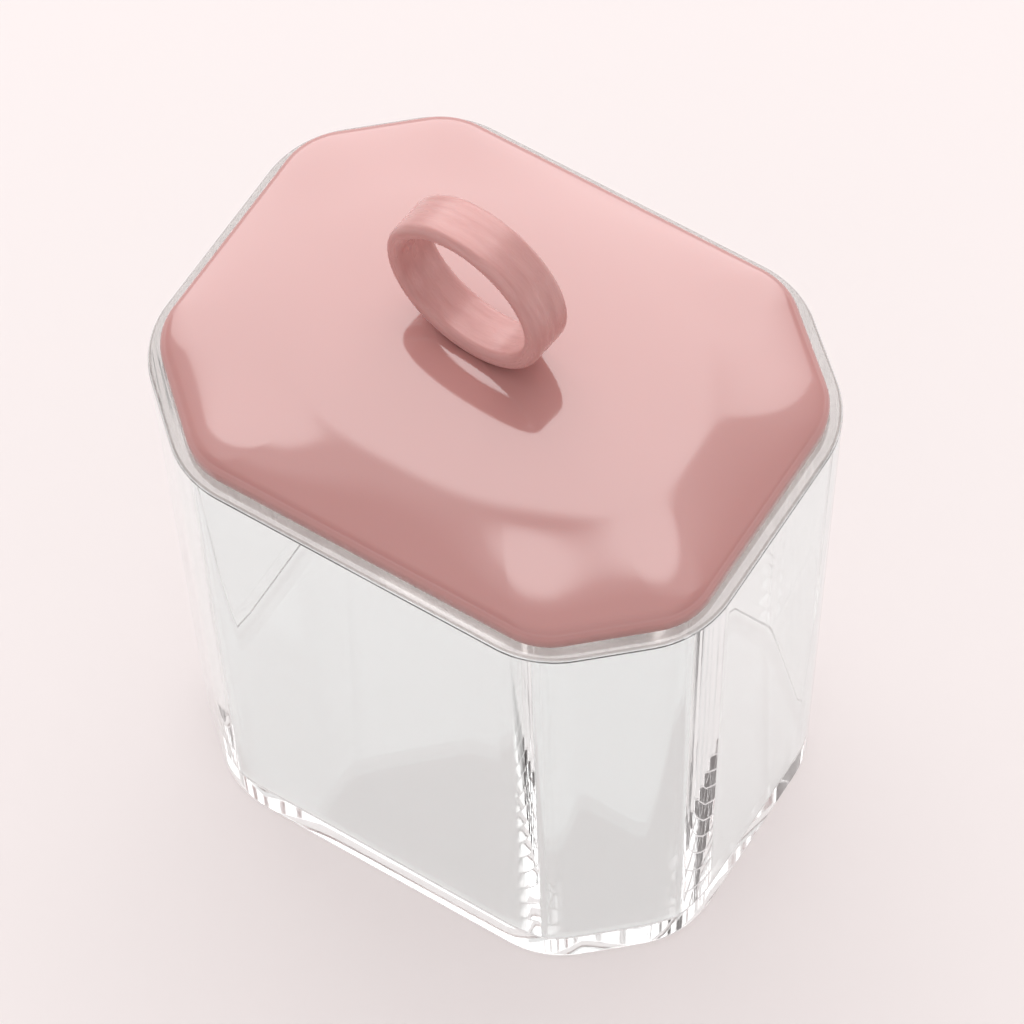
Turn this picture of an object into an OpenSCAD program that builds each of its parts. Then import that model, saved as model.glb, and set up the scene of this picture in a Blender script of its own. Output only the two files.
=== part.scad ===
// Clear storage box for cotton pads and swabs, with a domed lift-off lid
// and an upright ring to lift it by. Millimetres, +Z up. The origin is at
// the middle of the face that the box stands on, with its long sides along X.

/* [Box] */
// Length of the box at its lip, along X
body_length = 105; // [96:1:140]
// Width of the box at its lip, along Y
body_width = 82; // [76:1:120]
// Height of the lip above the table
body_height = 110; // [60:1:160]
// How far each corner is cut back along the long side
cut_along = 20; // [15:0.5:24]
// How far each corner is cut back along the short side
cut_across = 18; // [14:0.5:22]
// Outside radius of the eight upright corners
corner_radius = 18; // [10:0.5:20]
// Inside radius of the eight upright corners
inner_corner_radius = 2; // [1.5:0.5:5]
// Thickness of the side walls
wall = 3.6; // [3.2:0.1:4.4]
// Thickness of the floor
floor_thickness = 5; // [3:0.5:8]
// How much narrower each side is at the table than at the lip
draft = 2.1; // [0.5:0.1:3]
// Rounding of the edge that stands on the table
base_edge_radius = 2; // [0.8:0.1:3]
// Rounding between the floor and the walls, inside
floor_fillet = 1.6; // [0.5:0.1:3]
// Rounding of the outer edge of the lip
lip_round = 0.8; // [0.3:0.1:1.2]

/* [Lid] */
// Height of the lid's top above the lip
lid_height = 12; // [9:0.5:18]
// Width of the lip that shows all round the lid
lip_reveal = 2.5; // [1.6:0.1:2.6]
// Thickness of the lid's shell
lid_wall = 2.2; // [1.6:0.1:2.8]
// Corner radius of the lid's outline
lid_corner_radius = 12; // [10:0.5:13]
// Height of the straight part of the lid's edge
lid_land = 2.2; // [1:0.1:3]
// Rounding where the edge turns into the dome
lid_edge_radius = 2.4; // [1:0.1:3]
// Slope of the dome where it leaves the edge, in degrees
shoulder_angle = 25; // [20:1:38]
// How far in from the edge the dome has turned from eight sides to an oval
oval_reach = 12; // [10:1:24]
// Depth of the skirt that finds the mouth of the box
skirt_depth = 3; // [2:0.5:6]
// Thickness of the skirt
skirt_thickness = 1.8; // [1.2:0.1:2.4]
// Gap between the skirt and the mouth, each side
skirt_clearance = 0.4; // [0.3:0.05:0.7]

/* [Ring] */
// Outside diameter of the ring
ring_diameter = 30; // [28:0.5:40]
// Diameter of its finger hole
ring_hole = 24; // [18:0.5:24.5]
// Width of the ring, along its axis
ring_width = 8.5; // [6:0.5:10]
// Rounding of the ring's four edges
ring_round = 1.3; // [0.8:0.1:2.4]
// Turn of the ring about the upright axis, in degrees from the X axis
ring_turn = -6; // [-90:1:90]
// Distance of the ring from the lid's middle, along X
ring_offset = -2.5; // [-3:0.5:3]
// How much of the ring's lowest point is flat
ring_flat = 0.4; // [0.2:0.1:0.8]
// Diameter of the peg under the ring
peg_diameter = 5; // [3:0.5:5]
// Length of the peg
peg_length = 6; // [4:0.5:7]
// Gap round the peg, filled with cement
peg_clearance = 0.05; // [0.03:0.01:0.1]

/* [Smoothness] */
// Steps in each upright corner
corner_steps = 6; // [4:1:8]
// Steps along each side between two corners
side_steps = 4; // [2:1:6]
// Steps across the dome
dome_steps = 13; // [8:1:15]

/* [Hidden] */

// Small rounding that breaks every other edge
edge_break = 0.4;
// Steps in a small rounding
round_steps = 4;
// Facets round the peg and its hole, and round the ring
peg_facets = 48;
ring_facets = 72;
// How much the corner cuts and the corner radius grow towards the dome's middle
cut_growth = 0.35;
radius_growth = 1.6;
// Share of the room at a corner that its radius may fill
radius_limit = 0.96;
// Power of the dome's oval: 2 is an ellipse, and more is squarer
oval_power = 2.4;
// Power that draws the dome's rings together near the edge
ring_crowding = 1.4;
// Flat left round the ring's width at the middle of the dome
seat_margin = 2;
// Material round the peg hole, and below its end
boss_wall = 2;
// How far a cut goes past the face that it starts from
cut_past = 1;

// A plan is [half length, half width, cut along, cut across, corner radius]
lip_plan = [body_length / 2, body_width / 2, cut_along, cut_across, corner_radius];
lid_plan = with_radius(inset(lip_plan, lip_reveal), lid_corner_radius);
lid_z = body_height;
lid_top = lid_z + lid_height;

// The middle of the dome is flat, to seat the ring
seat_half = ring_width / 2 + seat_margin;
dome_span = lid_plan[1] - seat_half;
dome_start = lid_edge_radius * (1 - sin(shoulder_angle));
dome_base = lid_land + lid_edge_radius * cos(shoulder_angle);
dome_rise = lid_height - dome_base;
dome_power = tan(shoulder_angle) * (dome_span - dome_start) / dome_rise;

// Angle that the cut face's normal makes with X
function cut_angle(plan) = atan2(plan[2], plan[3]);

function with_radius(plan, radius) = [plan[0], plan[1], plan[2], plan[3], radius];

// The plan moved in by one distance on all eight sides
function inset(plan, d) = let (a = cut_angle(plan)) [
    plan[0] - d,
    plan[1] - d,
    plan[2] - d * (1 - tan((90 - a) / 2)),
    plan[3] - d * (1 - tan(a / 2)),
    plan[4]
];

// The corner radius, kept to what the sides leave room for
function room_radius(plan) = let (
    a = cut_angle(plan),
    cut_length = norm([plan[2], plan[3]])
) min(
    plan[4],
    radius_limit * (plan[1] - plan[3]) / tan(a / 2),
    radius_limit * (plan[0] - plan[2]) / tan((90 - a) / 2),
    radius_limit * cut_length / (tan(a / 2) + tan((90 - a) / 2))
);

// The eight sharp corners of a plan, anticlockwise
function corners(plan) = let (x = plan[0], y = plan[1], cx = plan[2], cy = plan[3]) [
    [x, y - cy], [x - cx, y], [cx - x, y], [-x, y - cy],
    [-x, cy - y], [cx - x, -y], [x - cx, -y], [x, cy - y]
];

// The directions that the sides face, from +X round to +X again
function facings(plan) = let (a = cut_angle(plan))
    [0, a, 90, 180 - a, 180, 180 + a, 270, 360 - a, 360];

// A point moved by a share of the way to the oval that is as long and as wide as the plan
function towards_oval(p, plan, share) = let (
    t = atan2(p[1] / plan[1], p[0] / plan[0]),
    reach = pow(pow(abs(cos(t)), oval_power) + pow(abs(sin(t)), oval_power), -1 / oval_power)
) (1 - share) * p + share * reach * [plan[0] * cos(t), plan[1] * sin(t)];

// One ring of points: the plan with its corners rounded, at height z. Each
// side has a number of steps, and a share of the way to the oval can be given
function ring_points(plan, z, steps = 1, oval = 0) = let (
    tips = corners(plan),
    turns = facings(plan),
    r = room_radius(plan),
    arcs = [for (i = [0 : 7]) let (
        from = turns[i],
        to = turns[i + 1],
        sides = [cos(from) + cos(to), sin(from) + sin(to)],
        centre = tips[i] - r * sides / (1 + cos(to - from))
    ) [for (k = [0 : corner_steps]) let (t = from + (to - from) * k / corner_steps)
        centre + r * [cos(t), sin(t)]]]
) [
    for (i = [0 : 7]) let (
        end = arcs[i][corner_steps],
        next = arcs[(i + 1) % 8][0],
        side = [for (k = [1 : 1 : steps - 1]) end + (next - end) * k / steps]
    ) for (p = concat(arcs[i], side)) let (q = towards_oval(p, plan, oval))
        [q[0], q[1], z]
];

// A closed skin over rings that all have the same number of points
module skin(rings) {
    count = len(rings[0]);
    last = len(rings) - 1;
    points = [for (ring = rings) for (p = ring) p];
    sides = [for (j = [0 : last - 1]) for (i = [0 : count - 1]) let (
        n = (i + 1) % count,
        a = j * count + i,
        b = j * count + n,
        c = a + count,
        d = b + count
    ) each [[a, c, b], [b, c, d]]];
    first_cap = [for (i = [0 : count - 1]) i];
    last_cap = [for (i = [count - 1 : -1 : 0]) last * count + i];
    polyhedron(points = points, faces = concat([first_cap], sides, [last_cap]));
}

// The box's plans at height z, outside and inside
function outside(z) = inset(lip_plan, draft * (1 - z / body_height));
function inside(z) = with_radius(inset(outside(z), wall), inner_corner_radius);

function quarter(k) = 90 * k / round_steps;

// One moulding: up the outside, over the lip and down the inside
module box_body() {
    outer_low = [for (k = [0 : round_steps]) let (
        z = base_edge_radius * (1 - cos(quarter(k))),
        d = base_edge_radius * (1 - sin(quarter(k)))
    ) ring_points(inset(outside(z), d), z)];
    outer_lip = [for (k = [0 : round_steps]) let (
        z = body_height - lip_round * (1 - sin(quarter(k))),
        d = lip_round * (1 - cos(quarter(k)))
    ) ring_points(inset(outside(z), d), z)];
    inner_lip = [
        ring_points(inset(inside(body_height), -edge_break), body_height),
        ring_points(inside(body_height - edge_break), body_height - edge_break)
    ];
    inner_floor = [for (k = [0 : round_steps]) let (
        z = floor_thickness + floor_fillet * (1 - sin(quarter(k))),
        d = floor_fillet * (1 - cos(quarter(k)))
    ) ring_points(inset(inside(z), d), z)];
    color([0.93, 0.93, 0.93, 0.35])
        skin(concat(outer_low, outer_lip, inner_lip, inner_floor));
}

// The lid's plan at an inset from its edge, turning rounder towards the middle
function dome_plan(d) = let (
    s = d / lid_plan[1],
    left = 1 - s,
    cut = left * (1 + cut_growth * s)
) [
    left * (lid_plan[0] + (lid_plan[0] - lid_plan[1]) * s),
    left * lid_plan[1],
    cut * lid_plan[2],
    cut * lid_plan[3],
    left * lid_corner_radius * (1 + radius_growth * s)
];

// Height of the dome above the lip, at an inset from the lid's edge
function dome_height(d) = dome_base
    + dome_rise * (1 - pow(max(0, 1 - (d - dome_start) / (dome_span - dome_start)), dome_power));

// Inset of dome ring k, closer together near the edge
function dome_inset(k, start) = start + (dome_span - start) * pow(k / dome_steps, ring_crowding);

// A ring of the lid, from a height above the lip
function lid_ring(plan, rise, oval = 0) = ring_points(plan, lid_z + rise, side_steps, oval);

// One ring of the dome, or of the ceiling that follows it at a depth below
function dome_ring(d, depth) = let (s = min(1, (d - dome_start) / (oval_reach - dome_start)))
    lid_ring(dome_plan(d), dome_height(d) - depth, s * s * (3 - 2 * s));

// The skirt's plans, from the mouth that it drops into
skirt_outer = with_radius(
    inset(inside(body_height), skirt_clearance),
    max(1, inner_corner_radius - skirt_clearance)
);
skirt_inner = with_radius(
    inset(skirt_outer, skirt_thickness),
    max(1, skirt_outer[4] - skirt_thickness)
);
skirt_inset = lip_plan[1] - lip_reveal - skirt_inner[1];

// The shell without its boss: out over the ceiling, round the skirt, up the dome
module lid_shell() {
    ceiling = [for (k = [dome_steps : -1 : 1])
        dome_ring(dome_inset(k, skirt_inset + edge_break), lid_wall)];
    skirt = [
        lid_ring(skirt_inner, dome_height(skirt_inset) - lid_wall - edge_break),
        lid_ring(skirt_inner, edge_break - skirt_depth),
        lid_ring(inset(skirt_inner, -edge_break), -skirt_depth),
        lid_ring(inset(skirt_outer, edge_break), -skirt_depth),
        lid_ring(skirt_outer, edge_break - skirt_depth),
        lid_ring(skirt_outer, 0),
        lid_ring(inset(lid_plan, edge_break), 0),
        lid_ring(lid_plan, edge_break)
    ];
    edge = [for (k = [0 : round_steps]) let (
        t = (90 - shoulder_angle) * k / round_steps,
        d = lid_edge_radius * (1 - cos(t))
    ) lid_ring(dome_plan(d), lid_land + lid_edge_radius * sin(t))];
    dome = [for (k = [1 : dome_steps]) dome_ring(dome_inset(k, dome_start), 0)];
    skin(concat(ceiling, skirt, edge, dome));
}

peg_hole_depth = peg_length + edge_break;
hole_radius = peg_diameter / 2 + peg_clearance;

// Domed shell, with a boss under its middle for the ring's peg
module lid() {
    boss_depth = peg_hole_depth + boss_wall;
    color([0.90, 0.70, 0.69])
    difference() {
        union() {
            lid_shell();
            translate([ring_offset, 0, lid_top - boss_depth])
                cylinder(h = boss_depth - lid_wall / 2, r = hole_radius + boss_wall, $fn = peg_facets);
        }
        translate([ring_offset, 0, lid_top - peg_hole_depth])
            cylinder(h = peg_hole_depth + cut_past, r = hole_radius, $fn = peg_facets);
    }
}

// The ring's section, a flat band with soft edges
module ring_section() {
    inner = ring_hole / 2;
    thick = (ring_diameter - ring_hole) / 2;
    r = min(ring_round, thick / 2 - edge_break / 2);
    y = ring_width / 2 - r;
    polygon([
        for (corner = [
            [inner + thick - r, y, 0],
            [inner + r, y, 90],
            [inner + r, -y, 180],
            [inner + thick - r, -y, 270]
        ])
        for (k = [0 : 2 * round_steps]) let (t = corner[2] + quarter(k) / 2)
            [corner[0] + r * cos(t), corner[1] + r * sin(t)]
    ]);
}

// Upright ring, flat where it meets the lid, with its peg
module ring_handle() {
    radius = ring_diameter / 2;
    centre_z = lid_top + radius - ring_flat;
    below = ring_flat + cut_past;
    color([0.92, 0.68, 0.67])
    translate([ring_offset, 0, 0]) rotate([0, 0, ring_turn]) {
        difference() {
            translate([0, 0, centre_z]) rotate([90, 0, 0])
                rotate_extrude($fn = ring_facets) ring_section();
            translate([-radius, -ring_width, lid_top - below])
                cube([2 * radius, 2 * ring_width, below]);
        }
        // The peg goes up into the ring by the flat's depth
        translate([0, 0, lid_top - peg_length])
            cylinder(h = peg_length + ring_flat, d = peg_diameter, $fn = peg_facets);
    }
}

box_body();
lid();
ring_handle();
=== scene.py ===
import bpy
import bmesh
import math
from mathutils import Matrix, Vector


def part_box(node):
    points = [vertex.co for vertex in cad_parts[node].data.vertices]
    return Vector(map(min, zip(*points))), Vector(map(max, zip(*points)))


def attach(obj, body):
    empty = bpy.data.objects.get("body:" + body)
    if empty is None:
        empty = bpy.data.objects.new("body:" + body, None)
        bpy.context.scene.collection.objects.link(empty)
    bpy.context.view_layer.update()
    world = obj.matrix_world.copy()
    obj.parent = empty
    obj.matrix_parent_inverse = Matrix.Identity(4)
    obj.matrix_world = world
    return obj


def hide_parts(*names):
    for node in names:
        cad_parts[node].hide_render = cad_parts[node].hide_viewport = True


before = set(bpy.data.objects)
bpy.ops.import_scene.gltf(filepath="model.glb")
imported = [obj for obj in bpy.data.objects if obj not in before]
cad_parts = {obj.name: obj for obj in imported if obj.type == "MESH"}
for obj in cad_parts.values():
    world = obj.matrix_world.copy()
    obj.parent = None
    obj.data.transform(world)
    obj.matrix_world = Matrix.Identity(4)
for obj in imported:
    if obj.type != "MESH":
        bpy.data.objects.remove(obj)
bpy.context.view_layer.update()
mm = 0.001
up = Vector((0, 0, 1))

# The view that the photograph was taken from. The roll turns the camera about its own axis
cameraSet = {
    "azimuth": 33.54,
    "elevation": 59.67,
    "roll": -1.86,
    "distance": 973.0 * mm,
    "target": Vector((-19.97, 34.12, 0.94)) * mm,
    "lens": 190.5,
    "sensor": 36,
}


def makeCamera(s):
    az, el, roll = (math.radians(s[k]) for k in ("azimuth", "elevation", "roll"))
    back = Vector((math.sin(az) * math.cos(el), -math.cos(az) * math.cos(el), math.sin(el)))
    right = (-back).cross(up).normalized()
    tilt = Matrix.Rotation(-roll, 3, -back)
    axes = Matrix((tilt @ right, tilt @ back.cross(right), back)).transposed()
    data = bpy.data.cameras.new("camera")
    data.lens = s["lens"]
    data.sensor_width = s["sensor"]
    camera = bpy.data.objects.new("camera", data)
    camera.matrix_world = Matrix.Translation(s["target"] + back * s["distance"]) @ axes.to_4x4()
    bpy.context.scene.collection.objects.link(camera)
    bpy.context.scene.camera = camera
    return back


towardsCamera = makeCamera(cameraSet)
print("camera set")


# Materials

def hexColour(code):
    channels = [int(code[i:i + 2], 16) / 255 for i in (1, 3, 5)]
    return [c / 12.92 if c <= 0.04045 else ((c + 0.055) / 1.055) ** 2.4 for c in channels] + [1]


def addNode(tree, kind, settings=(), **links):
    # settings: node attributes and input values by name; links: input name (spaces as _) to an output socket
    node = tree.nodes.new(kind)
    for name, value in dict(settings).items():
        if isinstance(name, str) and hasattr(node, name):
            setattr(node, name, value)
        else:
            node.inputs[name].default_value = value
    for name, source in links.items():
        key = int(name[5:]) if name.startswith("input") else name.replace("_", " ")
        tree.links.new(source, node.inputs[key])
    return node


def startMaterial(name):
    material = bpy.data.materials.new(name)
    material.use_nodes = True
    tree = material.node_tree
    tree.nodes.clear()
    return material, tree, tree.nodes.new("ShaderNodeOutputMaterial")


clearSet = {
    "ior": 1.52,
    "roughness": 0.012,
    "tint": "#F8FCFC",      # a trace of blue toner keeps the plastic from looking warm
    "lipPaintedShade": "#A59C98",   # painted shade: the lip is painted grey for the dark it shows when seen along the depth of the wall
    "lipRoughness": 0.1,
    "lipDepth": 0.35 * mm,
    "shadowTint": "#F3F2F2",
}


# Crystal polystyrene, injection moulded and polished: clear, hard and glossy
def crystalPolystyrene(s, height):
    material, tree, out = startMaterial("crystalPolystyreneMoulded")
    place = addNode(tree, "ShaderNodeTexCoord").outputs["Object"]
    axes = addNode(tree, "ShaderNodeSeparateXYZ", {}, Vector=place)
    # the top of the wall, the lip, is painted grey as painted shade, and its face is made rougher
    lip = addNode(tree, "ShaderNodeMapRange", {
        "From Min": height - s["lipDepth"], "From Max": height - s["lipDepth"] / 2,
    }, Value=axes.outputs["Z"])
    tint = addNode(tree, "ShaderNodeMix", {
        "data_type": "RGBA", 6: hexColour(s["tint"]), 7: hexColour(s["lipPaintedShade"]),
    }, input0=lip.outputs["Result"])
    rough = addNode(tree, "ShaderNodeMapRange", {
        "To Min": s["roughness"], "To Max": s["lipRoughness"],
    }, Value=lip.outputs["Result"])
    body = addNode(tree, "ShaderNodeBsdfPrincipled", {
        "IOR": s["ior"], "Transmission Weight": 1.0,
    }, Base_Color=tint.outputs[2], Roughness=rough.outputs["Result"])
    through = addNode(tree, "ShaderNodeBsdfTransparent", {"Color": hexColour(s["shadowTint"])})
    path = addNode(tree, "ShaderNodeLightPath")
    mix = addNode(tree, "ShaderNodeMixShader", {}, input0=path.outputs["Is Shadow Ray"],
                  input1=body.outputs[0], input2=through.outputs[0])
    tree.links.new(mix.outputs[0], out.inputs["Surface"])
    return material


lidSet = {
    "colour": "#C38D89",
    "shade": "#C08985",
    "cloudPitch": 30 * mm,
    "roughness": 0.06,
    "roughSpread": 0.02,
    "ior": 1.54,
    "wavePitch": 18 * mm,
    "waveHeight": 0.02 * mm,
    "glow": 0.08,
    "glowReach": 1.2 * mm,
}


# ABS, injection moulded in a mirror-polished mould: opaque, wet-looking gloss, a little light soaks in
def glossAbs(name, s):
    material, tree, out = startMaterial(name)
    place = addNode(tree, "ShaderNodeTexCoord").outputs["Object"]
    cloud = addNode(tree, "ShaderNodeTexNoise", {"Scale": 1 / s["cloudPitch"], "Detail": 2.0}, Vector=place)
    colour = addNode(tree, "ShaderNodeMix", {
        "data_type": "RGBA", 6: hexColour(s["colour"]), 7: hexColour(s["shade"]),
    }, input0=cloud.outputs["Fac"])
    rough = addNode(tree, "ShaderNodeMapRange", {
        "To Min": s["roughness"], "To Max": s["roughness"] + s["roughSpread"],
    }, Value=cloud.outputs["Fac"])
    wave = addNode(tree, "ShaderNodeTexNoise", {"Scale": 1 / s["wavePitch"], "Detail": 0.0}, Vector=place)
    bump = addNode(tree, "ShaderNodeBump", {"Strength": 0.5, "Distance": s["waveHeight"]},
                   Height=wave.outputs["Fac"])
    body = addNode(tree, "ShaderNodeBsdfPrincipled", {
        "IOR": s["ior"], "Subsurface Weight": s["glow"], "Subsurface Scale": s["glowReach"],
    }, Base_Color=colour.outputs[2], Roughness=rough.outputs["Result"], Normal=bump.outputs["Normal"])
    tree.links.new(body.outputs[0], out.inputs["Surface"])
    return material


ringSet = {
    "colour": "#CE9A96",
    "paintedReflectionStreakColour": "#C48E8A",
    "streakWidth": 0.9 * mm,
    "streakTurn": 0.5,      # how far round a streak runs, in radians
    "streakFrom": 0.35,     # noise values at which a streak begins and is full
    "streakTo": 0.7,
    "gloss": 0.3,
    "roughness": 0.22,
    "roughSpread": 0.12,
    "ior": 1.54,
    "streakHeight": 0.03 * mm,
    "glow": 0.1,
    "glowReach": 1.5 * mm,
}


# The same ABS, moulded and then buffed round: satin, with faint streaks along its circumference. The streaks'
# darker colour is painted reflection; only their roughness and small bump are the surface's own
def satinAbsWithPaintedStreaks(name, s, centre, turn):
    material, tree, out = startMaterial(name)
    place = addNode(tree, "ShaderNodeTexCoord").outputs["Object"]
    centred = addNode(tree, "ShaderNodeMapping", {"Location": -centre}, Vector=place)
    turned = addNode(tree, "ShaderNodeMapping", {"Rotation": (0, 0, -turn)}, Vector=centred.outputs[0])
    axes = addNode(tree, "ShaderNodeSeparateXYZ", {}, Vector=turned.outputs[0])
    around = addNode(tree, "ShaderNodeMath", {"operation": "ARCTAN2"}, input0=axes.outputs["Z"],
                     input1=axes.outputs["X"])
    flat = addNode(tree, "ShaderNodeCombineXYZ", {}, X=axes.outputs["X"], Y=axes.outputs["Z"])
    radius = addNode(tree, "ShaderNodeVectorMath", {"operation": "LENGTH"}, input0=flat.outputs[0])
    scaled = [
        addNode(tree, "ShaderNodeMath", {"operation": "MULTIPLY", 1: size}, input0=source)
        for source, size in (
            (around.outputs[0], 1 / s["streakTurn"]),
            (radius.outputs["Value"], 1 / s["streakWidth"]),
            (axes.outputs["Y"], 1 / s["streakWidth"]),
        )
    ]
    along = addNode(tree, "ShaderNodeCombineXYZ", {}, X=scaled[0].outputs[0], Y=scaled[1].outputs[0],
                    Z=scaled[2].outputs[0])
    streak = addNode(tree, "ShaderNodeTexNoise", {"Scale": 1.0, "Detail": 2.0}, Vector=along.outputs[0])
    share = addNode(tree, "ShaderNodeMapRange", {
        "From Min": s["streakFrom"], "From Max": s["streakTo"],
    }, Value=streak.outputs["Fac"])
    # painted reflection: the streaks darken the colour
    colour = addNode(tree, "ShaderNodeMix", {
        "data_type": "RGBA", 6: hexColour(s["colour"]), 7: hexColour(s["paintedReflectionStreakColour"]),
    }, input0=share.outputs["Result"])
    rough = addNode(tree, "ShaderNodeMapRange", {
        "To Min": s["roughness"], "To Max": s["roughness"] + s["roughSpread"],
    }, Value=streak.outputs["Fac"])
    bump = addNode(tree, "ShaderNodeBump", {"Strength": 0.4, "Distance": s["streakHeight"]},
                   Height=streak.outputs["Fac"])
    body = addNode(tree, "ShaderNodeBsdfPrincipled", {
        "IOR": s["ior"], "Specular IOR Level": s["gloss"], "Subsurface Weight": s["glow"],
        "Subsurface Scale": s["glowReach"],
    }, Base_Color=colour.outputs[2], Roughness=rough.outputs["Result"], Normal=bump.outputs["Normal"])
    tree.links.new(body.outputs[0], out.inputs["Surface"])
    return material


# Outlines. A plan is half length, half width, cut along, cut across and corner radius
sideCuts = 7                # points along each straight side
cornerRoom = 0.98           # a corner's radius takes at most this share of what its sides allow
mergeReach = 0.001 * mm


def insetPlan(plan, d, radius=None):
    a = math.atan2(plan[2], plan[3])
    return (
        plan[0] - d,
        plan[1] - d,
        plan[2] - d * (1 - math.tan((math.pi / 2 - a) / 2)),
        plan[3] - d * (1 - math.tan(a / 2)),
        plan[4] if radius is None else radius,
    )


def roomRadius(plan):
    a = math.atan2(plan[2], plan[3])
    near, far = math.tan(a / 2), math.tan((math.pi / 2 - a) / 2)
    limits = (
        (plan[1] - plan[3]) / near,
        (plan[0] - plan[2]) / far,
        math.hypot(plan[2], plan[3]) / (near + far),
    )
    return min(plan[4], cornerRoom * min(limits))


def spinPoint(bm, start, centre, angle, steps):
    turned = bmesh.ops.spin(bm, geom=[start], cent=centre, axis=up, angle=angle, steps=steps)
    return turned["geom_last"][0]


def drawQuarter(bm, plan, z, steps, softness=0, power=2):
    # a quarter of the outline: two arcs, each spun from a point, joined by the straight sides.
    # softness moves it towards an oval of the same length and width
    x, y, cx, cy, _ = plan
    r = roomRadius(plan)
    a = math.atan2(cx, cy)
    known = len(bm.edges)
    last = bm.verts.new((x, 0, z))
    straight = []
    for tip, a0, a1 in (((x, y - cy), 0, a), ((x - cx, y), a, math.pi / 2)):
        sides = Vector((math.cos(a0) + math.cos(a1), math.sin(a0) + math.sin(a1), 0))
        centre = Vector((*tip, z)) - sides * r / (1 + math.cos(a1 - a0))
        start = bm.verts.new(centre + Vector((math.cos(a0), math.sin(a0), 0)) * r)
        straight.append(bm.edges.new((last, start)))
        last = spinPoint(bm, start, centre, a1 - a0, steps)
    straight.append(bm.edges.new((last, bm.verts.new((0, y, z)))))
    bmesh.ops.subdivide_edges(bm, edges=straight, cuts=sideCuts)
    bm.edges.ensure_lookup_table()
    ring = bm.edges[known:]
    for vert in {v for e in ring for v in e.verts}:
        turn = math.atan2(vert.co.y / y, vert.co.x / x)
        across, along = math.cos(turn), math.sin(turn)
        reach = (abs(across) ** power + abs(along) ** power) ** (-1 / power)
        vert.co = vert.co.lerp(Vector((x * across * reach, y * along * reach, z)), softness)
    return ring


def drawArc(bm, radius, z, steps):
    known = len(bm.edges)
    spinPoint(bm, bm.verts.new((radius, 0, z)), (0, 0, z), math.pi / 2, 2 * steps + 3 * (1 + sideCuts))
    bm.edges.ensure_lookup_table()
    return bm.edges[known:]


def skinRings(bm, rings):
    # joins a quarter's rings, mirrors it twice and closes the two ends
    for lower, upper in zip(rings, rings[1:]):
        bmesh.ops.bridge_loops(bm, edges=lower + upper)
    for axis in "XY":
        bmesh.ops.mirror(bm, geom=bm.verts[:] + bm.edges[:] + bm.faces[:], axis=axis, merge_dist=mergeReach)
    bmesh.ops.holes_fill(bm, edges=[e for e in bm.edges if e.is_boundary])
    bmesh.ops.recalc_face_normals(bm, faces=bm.faces)


def finishPiece(bm, name, body, node, material):
    bmesh.ops.remove_doubles(bm, verts=bm.verts, dist=mergeReach)
    bmesh.ops.recalc_face_normals(bm, faces=bm.faces)
    for face in bm.faces:
        face.smooth = True
    mesh = bpy.data.meshes.new(name)
    bm.to_mesh(mesh)
    bm.free()
    piece = bpy.data.objects.new(name, mesh)
    bpy.context.scene.collection.objects.link(piece)
    mesh.materials.append(material)
    level = piece.modifiers.new("evenNormals", "WEIGHTED_NORMAL")
    level.mode = "FACE_AREA"
    level.weight = 50
    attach(piece, body)
    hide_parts(node)
    print(name, len(mesh.polygons), "faces")
    return piece


# Box: one clear moulding, an oblong with cut-back corners, wider at the lip than at the table
bodyLow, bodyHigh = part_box("box_body")
boxSet = {
    "cutAlong": 20 * mm,
    "cutAcross": 18 * mm,
    "cornerRadius": 18 * mm,
    "innerCornerRadius": 2 * mm,
    "wall": 3.6 * mm,
    "floor": 5 * mm,
    "draft": 2.1 * mm,
    "baseEdge": 2 * mm,
    "floorFillet": 1.6 * mm,
    "lipRound": 0.8 * mm,
    "mouthBreak": 0.4 * mm,
    "middle": 0.15,         # size of the small middle that the base and the floor close to
    "cornerSteps": 14,
    "edgeSteps": 5,
}
lipPlan = (bodyHigh.x, bodyHigh.y, boxSet["cutAlong"], boxSet["cutAcross"], boxSet["cornerRadius"])


def outsidePlan(z):
    return insetPlan(lipPlan, boxSet["draft"] * (1 - z / bodyHigh.z))


def insidePlan(z):
    return insetPlan(outsidePlan(z), boxSet["wall"], boxSet["innerCornerRadius"])


def shrunkPlan(plan, size):
    return tuple(value * size for value in plan)


def isOuter(point):
    # True for a point on the outside wall, which is further out than halfway through the wall
    half = insetPlan(outsidePlan(point.z), boxSet["wall"] / 2)
    a = math.atan2(half[2], half[3])
    x, y = abs(point.x), abs(point.y)
    across = math.cos(a) * (x - half[0]) + math.sin(a) * (y - half[1] + half[3])
    return max(x - half[0], y - half[1], across) > 0


def makeBox(s):
    bm = bmesh.new()
    height = bodyHigh.z
    # the base and the floor close towards a small middle, so that no face is long and thin
    skinRings(bm, [drawQuarter(bm, plan, z, s["cornerSteps"]) for plan, z in (
        (shrunkPlan(outsidePlan(0), s["middle"]), 0),
        (outsidePlan(0), 0),
        (outsidePlan(height), height),
        (insidePlan(height), height),
        (insidePlan(s["floor"]), s["floor"]),
        (shrunkPlan(insidePlan(s["floor"]), s["middle"]), s["floor"]),
    )])
    sharp = [e for e in bm.edges if e.calc_face_angle() > math.radians(60)]
    for low, high, outer, radius in (
        (-1, s["floor"] / 2, True, s["baseEdge"]),
        (s["floor"] / 2, height / 2, False, s["floorFillet"]),
        (height / 2, height + 1, True, s["lipRound"]),
        (height / 2, height + 1, False, s["mouthBreak"]),
    ):
        ring = [
            e for e in sharp
            if e.is_valid and low < e.verts[0].co.z < high and outer == isOuter(e.verts[0].co)
        ]
        bmesh.ops.bevel(bm, geom=ring, offset=radius, offset_type="OFFSET", segments=s["edgeSteps"],
                        profile=0.5, affect="EDGES", material=-1, clamp_overlap=False)
    material = crystalPolystyrene(clearSet, height)
    return finishPiece(bm, "clearBox", "box", "box_body", material)


makeBox(boxSet)

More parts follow.
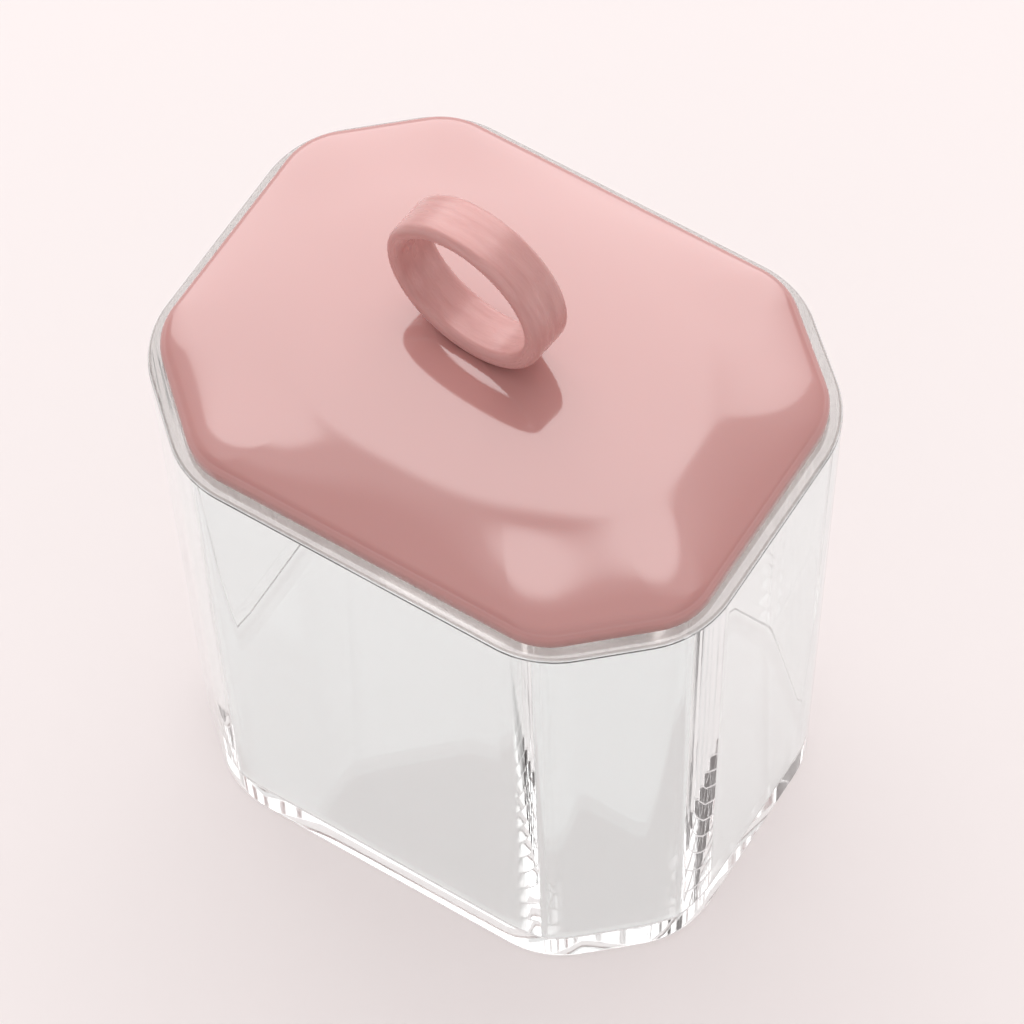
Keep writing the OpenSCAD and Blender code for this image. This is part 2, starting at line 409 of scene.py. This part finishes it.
# Lid: a domed shell that sits on the lip, with a skirt inside the mouth
lidLow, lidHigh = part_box("lid")
ringLow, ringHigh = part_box("ring_handle")
ringPlace = Vector(((ringLow.x + ringHigh.x) / 2, (ringLow.y + ringHigh.y) / 2, 0))
lidFormSet = {
    "cornerRadius": 12 * mm,
    "land": 2.2 * mm,
    "edgeRadius": 2.4 * mm,
    "shoulderAngle": math.radians(25),
    "wall": 2.2 * mm,
    "skirtThickness": 1.8 * mm,
    "skirtGap": 0.4 * mm,
    "seatHalf": 6.25 * mm,
    "cutGrowth": 0.35,
    "radiusGrowth": 1.6,
    "ovalReach": 12 * mm,   # how far in from the edge the dome has turned to an oval
    "ovalPower": 2.4,
    "ringCrowding": 1.4,    # above 1, the dome's rings stand closer near its edge
    "edgeBreak": 0.4 * mm,
    "holeRadius": 2.55 * mm,
    "holeDepth": 6.4 * mm,
    "bossWall": 2 * mm,
    "cornerSteps": 16,
    "domeSteps": 44,
    "edgeSteps": 10,
}


def makeLid(s):
    bm = bmesh.new()
    steps = s["cornerSteps"]
    lip = bodyHigh.z
    width = lidHigh.y
    plan = insetPlan(lipPlan, lipPlan[1] - width, s["cornerRadius"])
    height = lidHigh.z - lip
    span = width - s["seatHalf"]
    slope = s["shoulderAngle"]
    start = s["edgeRadius"] * (1 - math.sin(slope))
    base = s["land"] + s["edgeRadius"] * math.cos(slope)
    power = math.tan(slope) * (span - start) / (height - base)

    def domePlan(d):
        share = d / width
        left = 1 - share
        cut = left * (1 + s["cutGrowth"] * share)
        return (left * (plan[0] + (plan[0] - plan[1]) * share), left * plan[1], cut * plan[2], cut * plan[3],
                left * plan[4] * (1 + s["radiusGrowth"] * share))

    def domeHeight(d):
        return lip + base + (height - base) * (1 - max(0, 1 - (d - start) / (span - start)) ** power)

    def domeRings(first, count, drop):
        found = []
        for k in range(1, count + 1):
            d = first + (span - first) * (k / count) ** s["ringCrowding"]
            share = min(1, (d - start) / (s["ovalReach"] - start))
            softness = share * share * (3 - 2 * share)
            z = domeHeight(d) - drop
            found.append(drawQuarter(bm, domePlan(d), z, steps, softness, s["ovalPower"]))
        return found

    mouth = insidePlan(lip)
    skirtOut = insetPlan(mouth, s["skirtGap"], mouth[4] - s["skirtGap"])
    skirtIn = insetPlan(skirtOut, s["skirtThickness"], skirtOut[4] - s["skirtThickness"])
    inward = width - skirtIn[1]
    edge = s["edgeBreak"]
    top = lidHigh.z
    holeEnd = top - s["holeDepth"]
    bossEnd = holeEnd - s["bossWall"]
    bossRadius = s["holeRadius"] + s["bossWall"]
    ceiling = domeRings(inward + edge, s["domeSteps"] // 2, s["wall"])
    rings = [drawArc(bm, bossRadius, z, steps) for z in (bossEnd, top - s["wall"])] + ceiling[::-1]
    rings += [drawQuarter(bm, p, z, steps) for p, z in (
        (skirtIn, domeHeight(inward) - s["wall"] - edge),
        (skirtIn, lidLow.z + edge),
        (insetPlan(skirtIn, -edge), lidLow.z),
        (insetPlan(skirtOut, edge), lidLow.z),
        (skirtOut, lidLow.z + edge),
        (skirtOut, lip),
        (insetPlan(plan, edge), lip),
        (plan, lip + edge),
    )]
    for k in range(s["edgeSteps"] + 1):
        t = (math.pi / 2 - slope) * k / s["edgeSteps"]
        rings.append(drawQuarter(bm, domePlan(s["edgeRadius"] * (1 - math.cos(t))),
                                 lip + s["land"] + s["edgeRadius"] * math.sin(t), steps))
    rings += domeRings(start, s["domeSteps"], 0)
    rings += [drawArc(bm, s["holeRadius"], z, steps) for z in (top, holeEnd)]
    skinRings(bm, rings)
    # the boss and the hole follow the ring
    bossAndHole = [v for v in bm.verts if v.co.xy.length < bossRadius + 10 * mergeReach]
    bmesh.ops.translate(bm, verts=bossAndHole, vec=ringPlace)
    material = glossAbs("absGlossPink", lidSet)
    return finishPiece(bm, "domedLid", "lid_assembly", "lid", material)


makeLid(lidFormSet)

# Ring: a flat band with soft edges, standing on the lid, with a peg down into it
ringFormSet = {
    "turn": math.radians(-6),
    "hole": 24 * mm,
    "width": 8.5 * mm,
    "round": 1.3 * mm,
    "flat": 0.4 * mm,
    "pegDiameter": 5 * mm,
    "steps": 128,
    "roundSteps": 8,
    "pegSteps": 48,
}


def makeRing(s):
    bm = bmesh.new()
    top = lidHigh.z
    radius, holeRadius, halfWidth = (ringHigh.z - top + s["flat"]) / 2, s["hole"] / 2, s["width"] / 2
    centre = ringPlace + up * (ringHigh.z - radius)
    corners = [(radius, -halfWidth), (radius, halfWidth), (holeRadius, halfWidth), (holeRadius, -halfWidth)]
    section = bmesh.ops.contextual_create(bm, geom=[
        bm.verts.new(centre + Vector((x, y, 0))) for x, y in corners
    ])["faces"][0]
    bmesh.ops.bevel(bm, geom=list(section.verts), offset=s["round"], offset_type="OFFSET",
                    segments=s["roundSteps"], profile=0.5, affect="VERTICES", material=-1, clamp_overlap=False)
    bmesh.ops.delete(bm, geom=list(bm.faces), context="FACES_ONLY")
    bmesh.ops.spin(bm, geom=bm.verts[:] + bm.edges[:], cent=centre, axis=(0, 1, 0), angle=2 * math.pi,
                   steps=s["steps"], use_merge=True)
    cut = bmesh.ops.bisect_plane(bm, geom=bm.verts[:] + bm.edges[:] + bm.faces[:], plane_co=(0, 0, top),
                                 plane_no=-up, clear_outer=True)
    bmesh.ops.holes_fill(bm, edges=[e for e in cut["geom_cut"] if isinstance(e, bmesh.types.BMEdge)])
    pegEnd, pegRadius = ringLow.z, s["pegDiameter"] / 2
    peak = top + s["flat"]
    pegMiddle = ringPlace + up * (peak + pegEnd) / 2
    bmesh.ops.create_cone(bm, cap_ends=True, segments=s["pegSteps"], radius1=pegRadius, radius2=pegRadius,
                          depth=peak - pegEnd, matrix=Matrix.Translation(pegMiddle))
    bmesh.ops.rotate(bm, verts=bm.verts, cent=centre, matrix=Matrix.Rotation(s["turn"], 3, "Z"))
    return finishPiece(bm, "ringHandle", "lid_assembly", "ring_handle",
                       satinAbsWithPaintedStreaks("absSatinPink", ringSet, centre, s["turn"]))


makeRing(ringFormSet)

# Floor, world and lamp. The floor shows its own colour to the eye, to gloss and through the clear wall,
# with part of the object's shadow. Through the clear wall more of it shows without shade: painted light that
# lifts the shade under and inside the box
stageSet = {
    "floorColour": "#FCF6F5",
    "shadeColour": "#F5EAE9",
    "floorSize": 3.0,
    "floorDrop": 0.3 * mm,
    "even": 0.2,            # share of the floor that shows without shade
    "paintedLightThrough": 0.55,    # the same, as seen through clear plastic; set higher, so painted light lifts the shade seen through the wall
    "backdrop": "#FCF6F5",
    "around": 0.78,         # even light from all round
    # what gloss reflects: strengths, and lengths as parts of a direction of length one
    "panel": 5.4,
    "panelBack": 4.7,
    "panelTop": 0.9,        # heights between which the panel turns from the first strength to the second
    "panelFoot": 0.3,
    "panelLeft": 0.03,
    "panelHalf": 0.45,
    "panelEnd": 0.66,
    "panelSide": 0.3,
    "panelRound": 0.25,     # how far the near edge is bent back at the panel's sides
    "bendPower": 4.0,
    "panelSoft": 0.02,
    "ceiling": 1.9,
    "ceilingReach": 0.08,
    "dark": 0.8,
    "horizon": 1.5,
    "low": 0.1,
    "lowSoft": 0.1,
}


def pathShare(tree, even, paintedLightThrough):
    path = addNode(tree, "ShaderNodeLightPath")
    seen = addNode(tree, "ShaderNodeMath", {"operation": "MAXIMUM"}, input0=path.outputs["Is Camera Ray"],
                   input1=path.outputs["Is Glossy Ray"])
    plain = addNode(tree, "ShaderNodeMath", {"operation": "MULTIPLY", 1: even}, input0=seen.outputs[0])
    # seen through clear plastic the floor glows more: painted light in place of its shade
    through = addNode(tree, "ShaderNodeMath", {"operation": "MULTIPLY", 1: paintedLightThrough},
                      input0=path.outputs["Is Transmission Ray"])
    return addNode(tree, "ShaderNodeMath", {"operation": "MAXIMUM"}, input0=plain.outputs[0],
                   input1=through.outputs[0])


def makeFloor(s):
    bm = bmesh.new()
    bmesh.ops.create_circle(bm, cap_ends=True, segments=96, radius=s["floorSize"],
                            matrix=Matrix.Translation((0, 0, -s["floorDrop"])))
    mesh = bpy.data.meshes.new("floor")
    bm.to_mesh(mesh)
    bm.free()
    floor = bpy.data.objects.new("floor", mesh)
    bpy.context.scene.collection.objects.link(floor)
    material, tree, out = startMaterial("paperMatt")
    colour = hexColour(s["floorColour"])
    shade = addNode(tree, "ShaderNodeBsdfDiffuse", {"Color": hexColour(s["shadeColour"])})
    plain = addNode(tree, "ShaderNodeEmission", {"Color": colour, "Strength": 1.0})
    share = pathShare(tree, s["even"], s["paintedLightThrough"])
    mix = addNode(tree, "ShaderNodeMixShader", {}, input0=share.outputs[0], input1=shade.outputs[0],
                  input2=plain.outputs[0])
    tree.links.new(mix.outputs[0], out.inputs["Surface"])
    mesh.materials.append(material)


def makeWorld(s):
    world = bpy.data.worlds.new("studio")
    bpy.context.scene.world = world
    world.use_nodes = True
    tree = world.node_tree
    tree.nodes.clear()

    # how far a direction points to the front, to the side and up
    way = addNode(tree, "ShaderNodeTexCoord").outputs["Generated"]
    frontWay = Vector((towardsCamera.x, towardsCamera.y, 0)).normalized()
    front, side, height = (
        addNode(tree, "ShaderNodeVectorMath", {"operation": "DOT_PRODUCT", 1: axis}, input0=way).outputs["Value"]
        for axis in (frontWay, up.cross(frontWay), up)
    )
    # the studio that gloss reflects: a big white panel overhead and behind, and a paler ceiling in front of
    # it. Both fade to the sides, and low down the room is even
    shifted = addNode(tree, "ShaderNodeMath", {"operation": "ADD", 1: s["panelLeft"]}, input0=side)
    off = addNode(tree, "ShaderNodeMath", {"operation": "ABSOLUTE"}, input0=shifted.outputs[0]).outputs[0]
    reach = addNode(tree, "ShaderNodeMath", {"operation": "DIVIDE", 1: s["panelHalf"]}, input0=off)
    bend = addNode(tree, "ShaderNodeMath", {"operation": "POWER", 1: s["bendPower"]}, input0=reach.outputs[0])
    edge = addNode(tree, "ShaderNodeMath", {"operation": "MULTIPLY_ADD", 1: s["panelRound"]},
                   input0=bend.outputs[0], input2=front)
    inside, panel, ceiling, fade, above = (
        addNode(tree, "ShaderNodeMapRange", {
            "From Min": fromMin, "From Max": fromMax, "To Min": toMin, "To Max": toMax,
        }, Value=source).outputs["Result"]
        for source, fromMin, fromMax, toMin, toMax in (
            (edge.outputs[0], s["panelSoft"], -s["panelSoft"], 0.0, 1.0),
            (height, s["panelTop"], s["panelFoot"], s["panel"], s["panelBack"]),
            (front, 0.0, s["ceilingReach"], s["ceiling"], s["dark"]),
            (off, s["panelHalf"], s["panelEnd"], 1.0, s["panelSide"]),
            (height, s["low"], s["low"] + s["lowSoft"], 0.0, 1.0),
        )
    )
    overhead = addNode(tree, "ShaderNodeMix", {"data_type": "FLOAT"}, input0=inside, input2=ceiling,
                       input3=panel)
    faded = addNode(tree, "ShaderNodeMath", {"operation": "MULTIPLY"}, input0=overhead.outputs[0], input1=fade)
    level = addNode(tree, "ShaderNodeMix", {"data_type": "FLOAT", 2: s["horizon"]}, input0=above,
                    input3=faded.outputs[0])
    white = hexColour("#FFFFFF")
    gloss = addNode(tree, "ShaderNodeBackground", {"Color": white}, Strength=level.outputs[0])
    light = addNode(tree, "ShaderNodeBackground", {"Color": white, "Strength": s["around"]})
    shown = addNode(tree, "ShaderNodeBackground", {"Color": hexColour(s["backdrop"]), "Strength": 1.0})
    path = addNode(tree, "ShaderNodeLightPath")
    lit = addNode(tree, "ShaderNodeMixShader", {}, input0=path.outputs["Is Glossy Ray"],
                  input1=light.outputs[0], input2=gloss.outputs[0])
    seen = addNode(tree, "ShaderNodeMath", {"operation": "MAXIMUM"}, input0=path.outputs["Is Camera Ray"],
                   input1=path.outputs["Is Transmission Ray"])
    mix = addNode(tree, "ShaderNodeMixShader", {}, input0=seen.outputs[0],
                  input1=lit.outputs[0], input2=shown.outputs[0])
    out = tree.nodes.new("ShaderNodeOutputWorld")
    tree.links.new(mix.outputs[0], out.inputs["Surface"])


lampSet = {
    "softbox": {"behind": 0.9, "right": 0.0, "height": 0.96, "size": (1.5, 1.9), "power": 11},
}


def makeLamp(name, s):
    front = Vector((towardsCamera.x, towardsCamera.y, 0)).normalized()
    side = up.cross(front)
    aim = Vector((0, 0, lidHigh.z))
    place = -front * s["behind"] + side * s["right"] + up * s["height"]
    data = bpy.data.lights.new(name, "AREA")
    data.shape = "RECTANGLE"
    data.size, data.size_y = s["size"]
    data.energy = s["power"]
    lamp = bpy.data.objects.new(name, data)
    lamp.visible_camera = False
    lamp.visible_glossy = False
    back = (place - aim).normalized()
    across = side - back * side.dot(back)
    across.normalize()
    axes = Matrix((across, back.cross(across), back)).transposed()
    lamp.matrix_world = Matrix.Translation(place) @ axes.to_4x4()
    bpy.context.scene.collection.objects.link(lamp)


makeFloor(stageSet)
makeWorld(stageSet)
for name, setting in lampSet.items():
    makeLamp(name, setting)
bpy.context.scene.view_settings.view_transform = "Standard"
# light goes down inside the clear wall by many reflections before it leaves, so its paths are long
longestPath = 40
paths = bpy.context.scene.cycles
paths.max_bounces = paths.glossy_bounces = paths.transmission_bounces = longestPath
print("stage and lamps set")
